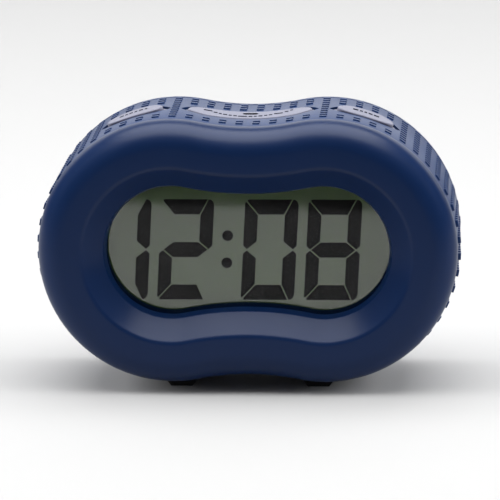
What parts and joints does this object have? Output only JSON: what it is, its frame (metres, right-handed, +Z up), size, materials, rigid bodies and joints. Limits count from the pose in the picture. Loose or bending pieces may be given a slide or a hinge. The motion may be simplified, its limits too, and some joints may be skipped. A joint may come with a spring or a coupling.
{
  "type": "alarm clock",
  "caption": "Low bedside digital alarm clock: peanut-shaped soft bezel round a wide LCD, tread-ribbed band, pointed push keys on top, battery door and slide switches behind.",
  "frame": {"origin": "on the table under the middle of the clock", "axes": "+X to the right seen from the front, +Y from the front to the back, +Z up"},
  "size_m": [0.1258, 0.048, 0.0831],
  "materials": {
    "bezel": "dark navy rubbery plastic, satin",
    "tread": "navy rubber, moulded ribs, satin",
    "case": "navy moulded plastic, matt",
    "rear": "navy moulded plastic, fine spark texture",
    "foot": "black rubber, matt",
    "window": "clear polished plastic",
    "display": "grey-green liquid crystal glass",
    "key": "silver-grey painted plastic, satin",
    "sensor": "smoked plastic, polished",
    "holder": "white moulded plastic, matt",
    "guide": "clear acrylic, polished",
    "contact_rubber": "grey conductive rubber",
    "led": "white resin, glossy",
    "board": "green glass-fibre board",
    "resin": "black epoxy, glossy",
    "can": "bright tinned can",
    "switch": "black plastic, matt",
    "buzzer": "black plastic, matt",
    "ribbon": "grey flat cable",
    "cell": "plain grey sleeve, satin",
    "contact": "nickel-plated spring strip",
    "screw": "zinc-plated steel"
  },
  "bodies": {
    "case": {"front_bezel": "bezel", "tread_band": "tread", "mid_case": "case", "rear_cover": "rear", "left_foot": "foot", "right_foot": "foot", "lcd_window": "window", "lcd_panel": "display", "lcd_holder": "holder", "light_guide": "guide", "contact_strip": "contact_rubber", "backlight_leds": "led", "main_board": "board", "controller_chip": "resin", "clock_crystal": "can", "light_sensor": "resin", "buzzer": "buzzer", "switch_board": "board", "ribbon_cable": "ribbon", "upper_cell": "cell", "lower_cell": "cell", "spring_contacts": "contact", "plate_contacts": "contact", "case_screws": "screw", "board_screws": "screw", "switch_board_screws": "screw", "snooze_switch": "switch", "left_switch": "switch", "right_switch": "switch", "alarm_switch": "switch", "mode_switch": "switch"},
    "snooze": {"snooze_key": "key", "sensor_window": "sensor", "snooze_plunger": "switch"},
    "left_button": {"left_key": "key", "left_plunger": "switch"},
    "right_button": {"right_key": "key", "right_plunger": "switch"},
    "alarm_slide": {"alarm_knob": "switch", "alarm_lever": "switch"},
    "mode_slide": {"mode_knob": "switch", "mode_lever": "switch"},
    "door": {"battery_door": "rear"}
  },
  "joints": [
    {"name": "snooze_press", "type": "slide", "parent": "case", "child": "snooze", "axis": [0, 0, -1], "range_m": [0, 0.0007], "stiffness_N_per_m": 400},
    {"name": "left_press", "type": "slide", "parent": "case", "child": "left_button", "axis": [0.3033, 0, -0.9529], "range_m": [0, 0.0007], "stiffness_N_per_m": 400},
    {"name": "right_press", "type": "slide", "parent": "case", "child": "right_button", "axis": [-0.3033, 0, -0.9529], "range_m": [0, 0.0007], "stiffness_N_per_m": 400},
    {"name": "alarm_switching", "type": "slide", "parent": "case", "child": "alarm_slide", "axis": [1, 0, 0], "range_m": [0, 0.003]},
    {"name": "mode_switching", "type": "slide", "parent": "case", "child": "mode_slide", "axis": [1, 0, 0], "range_m": [-0.003, 0.003]},
    {"name": "door_swing", "type": "hinge", "parent": "case", "child": "door", "pos_m": [0, 0.024, 0.0148], "axis": [-1, 0, 0], "range_deg": [0, 60]}
  ]
}
